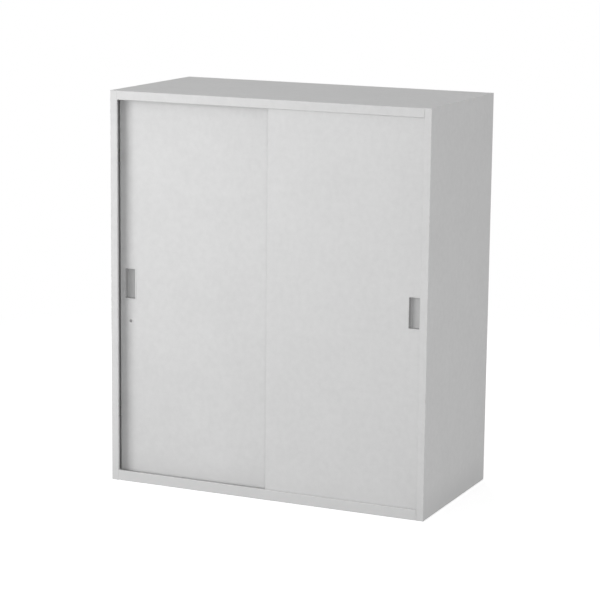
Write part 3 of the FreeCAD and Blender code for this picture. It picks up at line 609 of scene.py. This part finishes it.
def closed_skin(graph, flat, lifted):
    """A flat and its lifted copy as the closed skin of a slab."""
    under = graph.node("GeometryNodeFlipFaces", {}, {0: flat})
    both = graph.node("GeometryNodeJoinGeometry", {}, {0: [lifted, under]})
    return graph.node("GeometryNodeMergeByDistance", {}, {"Geometry": both, "Distance": JOIN})


def end_rule(graph, shape, surface):
    """Ends a tree as real geometry with its finish."""
    real = graph.node("GeometryNodeRealizeInstances", {}, {0: shape})
    done = graph.node("GeometryNodeSetMaterial", {}, {"Geometry": real, "Material": surface})
    graph.node("NodeGroupOutput", {}, {0: done})
    return graph.tree


def shaped(name, tree, mesh, values):
    """Runs a tree on a mesh with the given values, and returns the plain result."""
    item = loose_object(name + "_work", mesh)
    rule = item.modifiers.new("rule", "NODES")
    rule.node_group = tree
    for socket in tree.interface.items_tree:
        if socket.in_out == "INPUT" and socket.name in values:
            rule[socket.identifier] = values[socket.name]
    return plain_mesh(item, name)


def in_row(node, mesh, first, step):
    """Two of a small piece, one at first and one a step further."""
    return shaped(node, row_rule(), mesh, {"First": first, "Step": step, "Count": 2,
                                           "Surface": surface_for(SLOT_OF[node])})


def path_mesh(name, corners):
    """A chain of edges through the corners."""
    mesh = bpy.data.meshes.new(name)
    mesh.from_pydata(corners, [(step, step + 1) for step in range(len(corners) - 1)], [])
    return mesh


def folded_strip_rule():
    """A folded strip: a path of corners, rounded, drawn out along its run and given its sheet."""
    graph, given = new_rule("Folded Strip", {"Run": "Vector", "Sheet": "Float", "Bend": "Float",
                                             "Steps": "Int", "Surface": "Material"})
    path = graph.node("GeometryNodeMeshToCurve", {}, {0: given["Geometry"]})
    round_path = graph.node("GeometryNodeFilletCurve", {"mode": "POLY"},
                            {"Curve": path, "Count": given["Steps"], "Radius": given["Bend"],
                             "Limit Radius": True})
    line = graph.node("GeometryNodeCurveToMesh", {}, {0: round_path})
    skin = graph.node("GeometryNodeExtrudeMesh", {"mode": "EDGES"},
                      {"Mesh": line, "Offset": given["Run"], "Offset Scale": 1.0})
    lifted = graph.node("GeometryNodeExtrudeMesh", {"mode": "FACES"},
                        {"Mesh": skin, "Offset Scale": given["Sheet"], "Individual": False})
    return end_rule(graph, closed_skin(graph, skin, lifted), given["Surface"])


def slot_row_rule():
    """A row of round-ended slots, cut through what comes in."""
    graph, given = new_rule("Slot Row", {"First": "Vector", "Pitch": "Float", "Count": "Int",
                                         "Width": "Float", "Height": "Float", "Depth": "Float",
                                         "Surface": "Material"})
    outline = graph.node("GeometryNodeCurvePrimitiveQuadrilateral", {},
                         {"Width": given["Width"], "Height": given["Height"]})
    rounded = graph.node("GeometryNodeFilletCurve", {"mode": "POLY"},
                         {"Curve": outline, "Count": 6, "Radius": given["Width"] * 0.499,
                          "Limit Radius": True})
    flat = graph.node("GeometryNodeFillCurve", {"mode": "NGONS"}, {0: rounded})
    away = graph.node("ShaderNodeCombineXYZ", {}, {"Z": given["Depth"]})
    lifted = graph.node("GeometryNodeExtrudeMesh", {"mode": "FACES"},
                        {"Mesh": flat, "Offset": away, "Offset Scale": 1.0, "Individual": False})
    plug = closed_skin(graph, flat, lifted)
    middle = graph.node("ShaderNodeCombineXYZ", {}, {"Z": given["Depth"] * -0.5})
    centred = graph.node("GeometryNodeTransform", {}, {"Geometry": plug, "Translation": middle})
    upright = graph.node("GeometryNodeTransform", {},
                         {"Geometry": centred, "Rotation": (QUARTER, 0.0, QUARTER)})
    step = graph.node("ShaderNodeCombineXYZ", {}, {"Z": given["Pitch"]})
    row = graph.node("GeometryNodeMeshLine", {"mode": "OFFSET"},
                     {"Count": given["Count"], "Start Location": given["First"], "Offset": step})
    plugs = graph.node("GeometryNodeRealizeInstances", {},
                       {0: graph.node("GeometryNodeInstanceOnPoints", {},
                                      {"Points": row, "Instance": upright})})
    cut = graph.node("GeometryNodeMeshBoolean", {"operation": "DIFFERENCE", "solver": "EXACT"},
                     {"Mesh 1": given["Geometry"], "Mesh 2": plugs})
    return end_rule(graph, cut, given["Surface"])


def row_rule():
    """Like pieces in a row: what comes in is set down at each step."""
    graph, given = new_rule("Row", {"First": "Vector", "Step": "Vector", "Count": "Int",
                                    "Surface": "Material"})
    row = graph.node("GeometryNodeMeshLine", {"mode": "OFFSET"},
                     {"Count": given["Count"], "Start Location": given["First"], "Offset": given["Step"]})
    pieces = graph.node("GeometryNodeInstanceOnPoints", {}, {"Points": row, "Instance": given["Geometry"]})
    return end_rule(graph, pieces, given["Surface"])


def strip(name, tree, corners, run, sheet, surface):
    """One folded strip, from its outer face inwards or outwards as the sign of sheet says."""
    bend = bpy.context.scene.cabinet_sizes.bend + abs(sheet)
    mesh = shaped(name, tree, path_mesh(name, corners),
                  {"Run": run, "Sheet": sheet, "Bend": bend, "Steps": 5, "Surface": surface})
    shape = bmesh.new()
    shape.from_mesh(mesh)
    bmesh.ops.remove_doubles(shape, verts=shape.verts, dist=JOIN)
    bmesh.ops.recalc_face_normals(shape, faces=shape.faces)
    shape.to_mesh(mesh)
    shape.free()
    return mesh


def hat_corners(across, brim_level, crown_level, brim, sheet):
    """Outer corners of a hat section: across it, and from the brims to the crown."""
    left, right = across
    web_left, web_right = left + brim - sheet, right - brim + sheet
    under = brim_level + math.copysign(sheet, crown_level - brim_level)
    return [(left, under), (web_left, under), (web_left, crown_level),
            (web_right, crown_level), (web_right, under), (right, under)]


def outside_by(mesh, node):
    """How far a mesh reaches out of its node's box."""
    low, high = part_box(node)
    return max(max(vertex.co[step] - high[step], low[step] - vertex.co[step])
               for vertex in mesh.vertices for step in range(3))


def fitted_strip(node, tree, corners, run, sheet):
    """A folded strip with its sheet on the side of the corners where the node's box is."""
    tries = [strip(node, tree, corners, run, sign * sheet, surface_for(SLOT_OF[node])) for sign in (1, -1)]
    return min(tries, key=lambda mesh: outside_by(mesh, node))


# ---- turned and moulded shapes

def rounded_outline(corners, radius, steps=3):
    """A closed outline with each corner rounded by so many steps."""
    made = []
    count = len(corners)
    most = 0.45                 # share of a side that one round may take
    for index, corner in enumerate(corners):
        here = Vector(corner)
        before = Vector(corners[index - 1]) - here
        after = Vector(corners[(index + 1) % count]) - here
        cut = min(radius, before.length * most, after.length * most)
        start = here + before.normalized() * cut
        end = here + after.normalized() * cut
        for step in range(steps + 1):
            share = step / steps
            first = start.lerp(here, share)
            second = here.lerp(end, share)
            made.append(first.lerp(second, share))
    return made


def band(shape, ring, after):
    """Faces between two rings of as many corners."""
    for step in range(len(ring)):
        beside = (step + 1) % len(ring)
        shape.faces.new((ring[step], ring[beside], after[beside], after[step]))


def turned(name, outline, middle, segments=48):
    """A solid turned about an axis along Y: the outline is closed, as (along Y, radius) corners."""
    shape = bmesh.new()
    turns = [2 * math.pi * step / segments for step in range(segments)]
    rings = [[shape.verts.new((middle.x + radius * math.cos(turn), middle.y + along,
                               middle.z + radius * math.sin(turn))) for turn in turns]
             for along, radius in outline]
    for ring, after in zip(rings, rings[1:] + rings[:1]):
        band(shape, ring, after)
    bmesh.ops.remove_doubles(shape, verts=shape.verts, dist=JOIN)
    bare = [edge for edge in shape.edges if not edge.link_faces]
    bmesh.ops.delete(shape, geom=bare, context="EDGES")
    bmesh.ops.recalc_face_normals(shape, faces=shape.faces)
    mesh = as_mesh(shape, name)
    smooth(mesh)
    return mesh


def rounded_loop(middle, half_x, half_z, radius, y, steps=5):
    """Places around a rectangle with round corners, square to Y."""
    made = []
    for turn, (sign_x, sign_z) in enumerate(((1, 1), (-1, 1), (-1, -1), (1, -1))):
        corner_x = middle.x + sign_x * (half_x - radius)
        corner_z = middle.z + sign_z * (half_z - radius)
        for step in range(steps + 1):
            around = QUARTER * (turn + step / steps)
            made.append(Vector((corner_x + radius * math.cos(around), y,
                                corner_z + radius * math.sin(around))))
    return made


def cross_reach(turn, arm, half):
    """How far a cross reaches out at an angle: its arms are so long and twice half wide."""
    near, far = sorted((abs(math.cos(turn)), abs(math.sin(turn))))
    return min(arm / far, half / max(near, JOIN))


def spoked_loop(x, reach):
    """Places around the X axis, each as far out as reach says for its angle."""
    slim = math.atan(CROSS_HALF / CROSS_ARM)
    turns = (0, slim, QUARTER / 3, QUARTER / 2, QUARTER * 2 / 3, QUARTER - slim)
    made = []
    for turn in [QUARTER * quarter + turn for quarter in range(4) for turn in turns]:
        made.append(Vector((x, reach(turn) * math.cos(turn), reach(turn) * math.sin(turn))))
    return made


def lofted(name, loops, inner=None):
    """A closed solid through loops of as many places each, with flat ends.

    The loops from number inner on are marked as the inside of a cup, which the finish paints darker as
    shade."""
    shape = bmesh.new()
    cup = shape.verts.layers.float.new("cup")
    rings = [[shape.verts.new(spot) for spot in loop] for loop in loops]
    for ring in rings[inner or len(rings):]:
        for vertex in ring:
            vertex[cup] = 1.0
    for ring, after in zip(rings, rings[1:]):
        band(shape, ring, after)
    shape.faces.new(rings[0])
    shape.faces.new(reversed(rings[-1]))
    bmesh.ops.recalc_face_normals(shape, faces=shape.faces)
    return as_mesh(shape, name)


def arc(start, end, steps, hollow):
    """Pairs of places along a quarter round from start to end, hollow or crowned."""
    made = []
    for step in range(steps + 1):
        turn = QUARTER * step / steps
        shares = (math.sin(turn), 1 - math.cos(turn)) if hollow else (1 - math.cos(turn), math.sin(turn))
        made.append(tuple(low + (high - low) * share for low, high, share in zip(start, end, shares)))
    return made


# ---- operators

class CABINET_OT_case(bpy.types.Operator):
    """Sides, top, bottom and back of the case"""
    bl_idname = "cabinet.case"
    bl_label = "Case"

    def execute(self, context):
        sizes = context.scene.cabinet_sizes
        fold_all(sizes.case_sheet, "left_side", "right_side", "top_panel", "bottom_panel")
        fold_all(sizes.back_sheet, "back_panel")
        return {"FINISHED"}


class CABINET_OT_doors(bpy.types.Operator):
    """Folded pans of the two doors"""
    bl_idname = "cabinet.doors"
    bl_label = "Doors"

    def execute(self, context):
        fold_all(context.scene.cabinet_sizes.door_sheet, "front_door_skin", "rear_door_skin")
        return {"FINISHED"}


class CABINET_OT_shelves(bpy.types.Operator):
    """Shelves with hemmed edges"""
    bl_idname = "cabinet.shelves"
    bl_label = "Shelves"

    def execute(self, context):
        fold_all(context.scene.cabinet_sizes.shelf_sheet, "lower_shelf", "upper_shelf")
        return {"FINISHED"}


class CABINET_OT_sections(bpy.types.Operator):
    """Stiffeners and guide channels: straight folded strips"""
    bl_idname = "cabinet.sections"
    bl_label = "Sections"

    def execute(self, context):
        sizes = context.scene.cabinet_sizes
        tree = folded_strip_rule()
        for node in ("top_stiffener", "floor_stiffener", "lower_shelf_stiffener", "upper_shelf_stiffener"):
            low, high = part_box(node)
            corners = hat_corners((low.y, high.y), high.z, low.z, sizes.brim, sizes.hat_sheet)
            path = [(low.x, across, upward) for across, upward in corners]
            self.make(node, tree, path, (high.x - low.x, 0, 0), sizes.hat_sheet)
        for node in ("front_door_stiffener", "rear_door_stiffener"):
            low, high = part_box(node)
            corners = hat_corners((low.x, high.x), high.y, low.y, sizes.brim, sizes.hat_sheet)
            path = [(across, inward, low.z) for across, inward in corners]
            self.make(node, tree, path, (0, 0, high.z - low.z), sizes.hat_sheet)
        for node in ("front_guide_channel", "rear_guide_channel"):
            low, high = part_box(node)
            path = [(low.x, low.y, low.z), (low.x, low.y, high.z), (low.x, high.y, high.z),
                    (low.x, high.y, low.z)]
            self.make(node, tree, path, (high.x - low.x, 0, 0), sizes.channel_sheet)
        return {"FINISHED"}

    def make(self, node, tree, path, run, sheet):
        """One section with eased edges."""
        mesh = fitted_strip(node, tree, path, run, sheet)
        piece(node + "_section", finished_edges(node, mesh, bpy.context.scene.cabinet_sizes.rim), node)


class CABINET_OT_uprights(bpy.types.Operator):
    """Slotted uprights for the shelf clips"""
    bl_idname = "cabinet.uprights"
    bl_label = "Uprights"

    def execute(self, context):
        sizes = context.scene.cabinet_sizes
        sheet = sizes.upright_sheet
        folded = folded_strip_rule()
        slotted = slot_row_rule()
        for side, word in ((-1, "left"), (1, "right")):
            for row in ("front", "rear"):
                node = "%s_%s_upright" % (word, row)
                low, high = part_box(node)
                wall, face = (low.x, high.x) if side < 0 else (high.x, low.x)
                path = [(wall, low.y, low.z), (face, low.y, low.z), (face, high.y, low.z),
                        (wall, high.y, low.z)]
                tall = high.z - low.z
                mesh = fitted_strip(node, folded, path, (0, 0, tall), sheet)
                count = math.floor((tall - 2 * sizes.slot_first) / sizes.slot_pitch + JOIN) + 1
                first = (face + side * sheet / 2, (low.y + high.y) / 2, low.z + sizes.slot_first)
                mesh = shaped(node, slotted, mesh,
                              {"First": first, "Pitch": sizes.slot_pitch, "Count": count,
                               "Width": sizes.slot_width, "Height": sizes.slot_height,
                               "Depth": sheet * 3, "Surface": surface_for(SLOT_OF[node])})
                piece(node + "_slotted", finished_edges(node, mesh, sizes.rim), node)
        return {"FINISHED"}


class CABINET_OT_pulls(bpy.types.Operator):
    """Moulded cups of the two pulls"""
    bl_idname = "cabinet.pulls"
    bl_label = "Pulls"

    def execute(self, context):
        for node in ("front_door_handle", "rear_door_handle"):
            low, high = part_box(node)
            loops, inner = self.sections(low, high)
            item = loose_object(node + "_work", lofted(node, loops, inner))
            shading = item.modifiers.new("shading", "WEIGHTED_NORMAL")
            shading.weight = 90
            smooth(item.data)
            piece(node + "_cup", plain_mesh(item, node), node)
        return {"FINISHED"}

    def sections(self, low, high):
        """Loops from the back of a cup round its rim and down to its floor, and the first inner one."""
        lip, wall, draft = 2.5 * MM, 1.5 * MM, 0.5 * MM
        rim_round, mouth_round, back_round, least_round = 2.2 * MM, 1.2 * MM, 1.8 * MM, 0.5 * MM
        ease, fillet, rim_back = 0.35 * MM, 1.6 * MM, 0.6 * MM
        face, floor = low.y + rim_back, high.y - wall
        middle = (low + high) / 2
        loops = []

        def add(inset, radius, y):
            loops.append(rounded_loop(middle, high.x - middle.x - inset, high.z - middle.z - inset,
                                      radius, y))

        add(lip + 1.0 * MM, 1.2 * MM, high.y)
        add(lip + 0.3 * MM, 1.6 * MM, high.y - 0.4 * MM)
        add(lip, back_round, high.y - 1.4 * MM)
        add(lip, back_round, face)
        for across, forward in arc((0, 0), (ease, rim_back), 3, False):
            add(across, rim_round - across, face - forward)
        for across, inward in arc((0, 0), (ease, ease), 3, True):
            add(lip + wall - ease + across, mouth_round, low.y + inward)
        inner = len(loops) - 1
        for across, inward in arc((0, 0), (fillet, fillet), 4, False):
            add(lip + wall + draft + across, max(mouth_round - across * 0.4, least_round),
                floor - fillet + inward)
        return loops, inner


class CABINET_OT_rollers(bpy.types.Operator):
    """Grooved rollers, their axles and brackets"""
    bl_idname = "cabinet.rollers"
    bl_label = "Rollers"

    def execute(self, context):
        for door in ("front_door", "rear_door"):
            for word in ("left", "right"):
                self.roller("%s_%s_roller" % (door, word))
            fold_all(context.scene.cabinet_sizes.fitting_sheet, door + "_roller_brackets")
            self.axles(door + "_axles")
        return {"FINISHED"}

    def roller(self, node):
        """A roller with a groove for the ridge of its rail."""
        low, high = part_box(node)
        rim, half = (high.z - low.z) / 2, (high.y - low.y) / 2
        tread, groove, bore = rim - 2.5 * MM, 2.2 * MM, 2.05 * MM
        corners = [(-half, bore), (half, bore), (half, rim), (groove, rim), (groove, tread),
                   (-groove, tread), (-groove, rim), (-half, rim)]
        outline = rounded_outline(corners, 0.5 * MM)
        piece(node + "_turned", turned(node, outline, (low + high) / 2), node)

    def axles(self, node):
        """Riveted axles with rounded heads, one through each roller."""
        low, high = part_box(node)
        half, rim = (high.y - low.y) / 2, (high.z - low.z) / 2
        shank, under = 2.0 * MM, half - 0.8 * MM
        corners = [(-half, 0.0), (-half, rim), (-under, rim), (-under, shank),
                   (under, shank), (under, rim), (half, rim), (half, 0.0)]
        axle = turned(node, rounded_outline(corners, 0.5 * MM), Vector(), 24)
        first = (low.x + rim, (low.y + high.y) / 2, (low.z + high.z) / 2)
        piece(node + "_turned", in_row(node, axle, first, (high.x - low.x - 2 * rim, 0, 0)), node)


class CABINET_OT_tracks(bpy.types.Operator):
    """Bottom rails, guide shoes and rubber stops"""
    bl_idname = "cabinet.tracks"
    bl_label = "Tracks and Stops"

    def execute(self, context):
        ease_all("_drawn", 0.3 * MM, "front_rail", "rear_rail")
        ease_all("_moulded", 0.8 * MM, "front_door_guide_shoes", "rear_door_guide_shoes")
        ease_all("_rubber", 1.5 * MM, "door_stops_left", "door_stops_right")
        return {"FINISHED"}


class CABINET_OT_clips(bpy.types.Operator):
    """Shelf clips hooked into the uprights"""
    bl_idname = "cabinet.clips"
    bl_label = "Shelf Clips"

    def execute(self, context):
        fold_all(context.scene.cabinet_sizes.fitting_sheet,
                 "lower_shelf_left_clips", "lower_shelf_right_clips",
                 "upper_shelf_left_clips", "upper_shelf_right_clips")
        return {"FINISHED"}


class CABINET_OT_lock(bpy.types.Operator):
    """Cam lock of the rear door and its strike"""
    bl_idname = "cabinet.lock"
    bl_label = "Lock"

    def execute(self, context):
        sheet = context.scene.cabinet_sizes.fitting_sheet
        ease_all("_turned", 0.25 * MM, "lock_barrel")
        ease_all("_turned", 0.12 * MM, "lock_plug")
        ease_all("_pressed", 0.25 * MM, "lock_cam")
        ease_all("_cut", 0.3 * MM, "lock_nut")
        fold_all(sheet, "lock_strike")
        self.screws("strike_screws", sheet)
        return {"FINISHED"}

    def screws(self, node, sheet):
        """Pan-head screws with a cross recess, one above the other."""
        low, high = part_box(node)
        rim, top, shank, head_round = (high.y - low.y) / 2, high.x - low.x, 1.6 * MM, 0.9 * MM
        recess, foot_arm, foot_half = 1.0 * MM, 1.0 * MM, 0.32 * MM
        loops = [spoked_loop(0.0, lambda turn: shank), spoked_loop(sheet, lambda turn: shank),
                 spoked_loop(sheet, lambda turn: rim)]
        for across, upward in arc((0, 0), (head_round, head_round), 3, False):
            loops.append(spoked_loop(top - head_round + upward, lambda turn: rim - across))
        loops.append(spoked_loop(top, lambda turn: cross_reach(turn, CROSS_ARM, CROSS_HALF)))
        loops.append(spoked_loop(top - recess, lambda turn: cross_reach(turn, foot_arm, foot_half)))
        first = (low.x, (low.y + high.y) / 2, low.z + rim)
        mesh = in_row(node, lofted(node, loops), first, (0, 0, high.z - low.z - 2 * rim))
        piece(node + "_driven", mesh, node)


def facing(azimuth, elevation):
    """The turn of a lamp or camera that looks back from this direction."""
    return Matrix.Rotation(azimuth, 4, "Z") @ Matrix.Rotation(QUARTER - elevation, 4, "X")


class CABINET_OT_stage(bpy.types.Operator):
    """Pale floor, soft light and the camera"""
    bl_idname = "cabinet.stage"
    bl_label = "Stage"

    def execute(self, context):
        stage = context.scene.cabinet_stage
        self.floor(stage)
        self.sky(context.scene, stage)
        for lamp in LAMPS:
            self.lamp(*lamp, getattr(stage, lamp[0]))
        self.camera(context.scene, stage)
        return {"FINISHED"}

    def looked_at(self, graph):
        """1 for what the camera or a glossy surface looks at, and 0 for light that falls on the case."""
        camera = graph.node("ShaderNodeLightPath", {}, {}, "Is Camera Ray")
        glossy = graph.node("ShaderNodeLightPath", {}, {}, "Is Glossy Ray")
        return (camera + glossy).clipped()

    def floor(self, stage):
        """A pale floor, white where it is looked at, that runs out into the white backdrop."""
        reach, near, far = 30.0, 0.9, 2.4
        mesh = bpy.data.meshes.new("floor")
        mesh.from_pydata([(-reach, -reach, 0), (reach, -reach, 0), (reach, reach, 0),
                          (-reach, reach, 0)], [], [(0, 1, 2, 3)])
        item = loose_object("floor", mesh)
        surface, graph = new_surface("pale_floor")
        across, inward = axis(graph, "X"), axis(graph, "Y")
        away = (across * across + inward * inward).root()
        cloud = noise(graph, 3.0, 3.0)
        pale, bounce = (graph.node("ShaderNodeBsdfDiffuse", {},
                                   {"Color": tinted(graph, shade, cloud, 0.98, 1.0)})
                        for shade in (stage.floor, stage.bounce))
        lift, plain = (graph.node("ShaderNodeEmission", {}, {"Color": WHITE, "Strength": strength})
                       for strength in (stage.lift, 1.0))
        lifted = graph.node("ShaderNodeAddShader", {}, {0: pale, 1: lift})
        looked_at = self.looked_at(graph)
        close = graph.node("ShaderNodeMixShader", {}, {0: looked_at, 1: bounce, 2: lifted})
        mixed = graph.node("ShaderNodeMixShader", {},
                           {0: looked_at * away.ramp(near, far), 1: close, 2: plain})
        graph.node("ShaderNodeOutputMaterial", {}, {"Surface": mixed})
        mesh.materials.append(surface)

    def sky(self, scene, stage):
        """Even light from all round, white where the camera or a glossy surface looks at it."""
        world = bpy.data.worlds.new("soft_room")
        world.use_nodes = True
        world.node_tree.nodes.clear()
        graph = Graph(world.node_tree)
        even, plain = (graph.node("ShaderNodeBackground", {}, {"Color": WHITE, "Strength": strength})
                       for strength in (stage.sky, 1.0))
        mixed = graph.node("ShaderNodeMixShader", {}, {0: self.looked_at(graph), 1: even, 2: plain})
        graph.node("ShaderNodeOutputWorld", {}, {"Surface": mixed})
        scene.world = world
        scene.view_settings.view_transform = "Standard"

    def lamp(self, name, azimuth, elevation, distance, width, watts):
        """A large square lamp, aimed at the case."""
        data = bpy.data.lights.new(name, "AREA")
        data.size = width
        data.energy = watts
        item = loose_object(name, data)
        item.visible_camera = False
        item.matrix_world = (Matrix.Translation(LIT_SPOT)
                             @ facing(math.radians(azimuth), math.radians(elevation))
                             @ Matrix.Translation((0.0, 0.0, distance)))

    def camera(self, scene, stage):
        """The camera, from its yaw, pitch and roll."""
        data = bpy.data.cameras.new("camera")
        data.sensor_width = 36.0
        data.lens = stage.lens
        item = loose_object("camera", data)
        item.matrix_world = (Matrix.Translation(stage.eye) @ facing(stage.yaw, stage.pitch)
                             @ Matrix.Rotation(stage.roll, 4, "Z"))
        scene.camera = item


OPERATORS = (CABINET_OT_case, CABINET_OT_doors, CABINET_OT_shelves, CABINET_OT_sections,
             CABINET_OT_uprights, CABINET_OT_pulls, CABINET_OT_rollers, CABINET_OT_tracks,
             CABINET_OT_clips, CABINET_OT_lock, CABINET_OT_stage)


class CABINET_PT_pieces(bpy.types.Panel):
    """Settings and pieces of the cabinet"""
    bl_idname = "CABINET_PT_pieces"
    bl_label = "Sliding Door Cabinet"
    bl_space_type = "VIEW_3D"
    bl_region_type = "UI"
    bl_category = "Cabinet"

    def draw(self, context):
        column = self.layout.column()
        for operator in OPERATORS:
            column.operator(operator.bl_idname)
        for name, group in SETTINGS.items():
            for field in group.__annotations__:
                column.prop(getattr(context.scene, name), field)


def register():
    """Registers the settings, operators and panel."""
    for name, group in SETTINGS.items():
        bpy.utils.register_class(group)
        setattr(bpy.types.Scene, name, PointerProperty(type=group))
    for operator in OPERATORS:
        bpy.utils.register_class(operator)
    bpy.utils.register_class(CABINET_PT_pieces)


def unregister():
    """Takes them away again."""
    bpy.utils.unregister_class(CABINET_PT_pieces)
    for operator in reversed(OPERATORS):
        bpy.utils.unregister_class(operator)
    for name, group in SETTINGS.items():
        delattr(bpy.types.Scene, name)
        bpy.utils.unregister_class(group)


def main():
    """Makes every piece, then the stage."""
    register()
    for operator in OPERATORS:
        family, name = operator.bl_idname.split(".")
        getattr(getattr(bpy.ops, family), name)()


if __name__ == "__main__":
    main()
